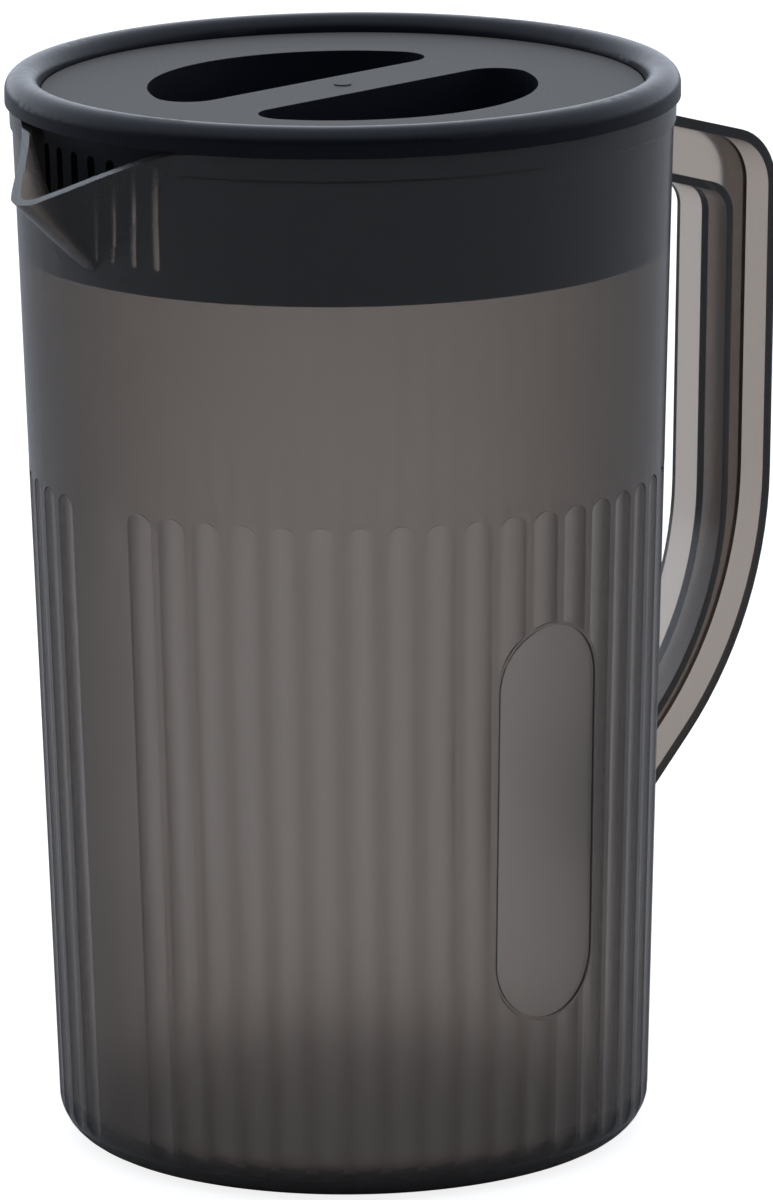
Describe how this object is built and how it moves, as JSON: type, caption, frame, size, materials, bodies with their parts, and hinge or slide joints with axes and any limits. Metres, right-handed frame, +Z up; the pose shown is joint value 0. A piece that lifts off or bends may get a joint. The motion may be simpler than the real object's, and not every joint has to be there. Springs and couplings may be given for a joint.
{
  "type": "water jug",
  "caption": "Smoky see-through fluted water jug with a beak spout, an open I-section handle and a black lid that turns between a strainer and a pour window and lifts off",
  "frame": {"origin": "on the jug's axis, in the plane of the ring that it stands on", "axes": "+Z up along the jug's axis; the spout points along -X and the handle along +X; +Y completes the right-handed frame"},
  "size_m": [0.1987, 0.14, 0.2264],
  "materials": {
    "smoky_plastic": "smoky grey translucent polypropylene, lightly frosted inside",
    "black_plastic": "black moulded polypropylene, satin bead and matte disc"
  },
  "bodies": {
    "jug": {"jug_body": "smoky_plastic"},
    "lid_ring": {"lid_rim": "black_plastic"},
    "lid": {"lid": "black_plastic"}
  },
  "joints": [
    {"name": "lid_lift", "type": "slide", "parent": "jug", "child": "lid_ring", "axis": [0, 0, 1], "range_m": [0, 0.06]},
    {"name": "lid_turn", "type": "hinge", "parent": "lid_ring", "child": "lid", "pos_m": [0, 0, 0.2], "axis": [0, 0, 1], "continuous": true}
  ]
}
